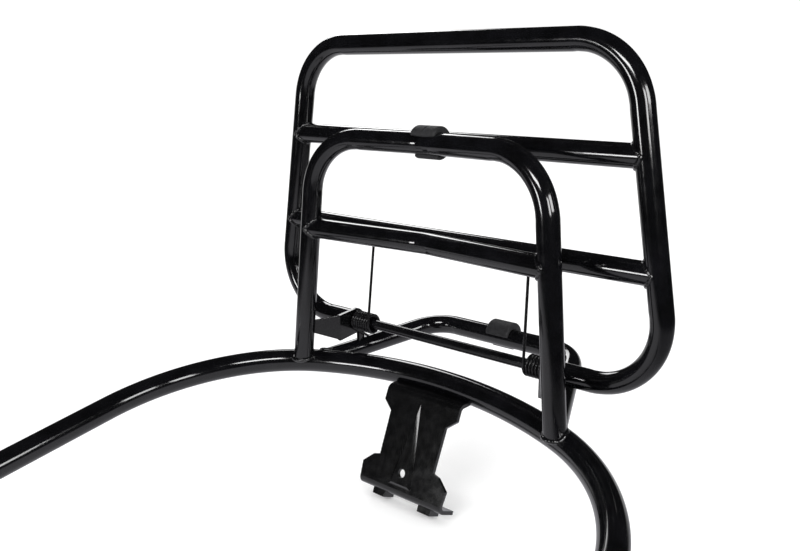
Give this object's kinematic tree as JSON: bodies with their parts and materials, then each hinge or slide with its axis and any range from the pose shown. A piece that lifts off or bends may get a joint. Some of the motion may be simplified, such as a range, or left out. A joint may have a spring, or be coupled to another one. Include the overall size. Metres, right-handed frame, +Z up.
{
  "type": "fold-down rear rack",
  "caption": "Rear luggage rack of welded black tube: a bow with backrest and tail bracket carries a spring-held platform that folds down on a hinge rod.",
  "frame": {"origin": "middle of the screw hole in the tail bracket's rib, on the rack's plane of symmetry", "axes": "+X to the rack's right along the hinge rod, +Y rearward, +Z up; the platform stands upright at rest"},
  "size_m": [0.4502, 0.395, 0.3537],
  "materials": {
    "paint": "gloss black enamel",
    "spring": "satin black oil-blacked wire",
    "bush": "black nylon",
    "bumper": "matte black rubber"
  },
  "bodies": {
    "fixed_frame": {"bow_tube": "paint", "bow_tab_left": "paint", "bow_tab_right": "paint", "backrest_arch": "paint", "backrest_crossbar": "paint", "support_loop": "paint", "tail_bracket": "paint", "tail_weld_nuts": "paint", "hinge_ear_left": "paint", "hinge_ear_right": "paint", "hinge_rod": "paint", "spring_left": "spring", "spring_right": "spring", "upper_bumper_clip": "bumper", "lower_bumper_clip": "bumper"},
    "platform": {"platform_frame": "paint", "platform_lower_crossbar": "paint", "platform_upper_crossbar": "paint", "hinge_bush_left": "bush", "hinge_bush_right": "bush"}
  },
  "joints": [
    {"name": "platform_fold", "type": "hinge", "parent": "fixed_frame", "child": "platform", "pos_m": [0, 0.05198, 0.09099], "axis": [-1, 0, 0], "range_deg": [0, 84.9], "stiffness_Nm_per_rad": 0.8, "springref_deg": -29.79, "deforming": ["spring_left", "spring_right"]}
  ]
}
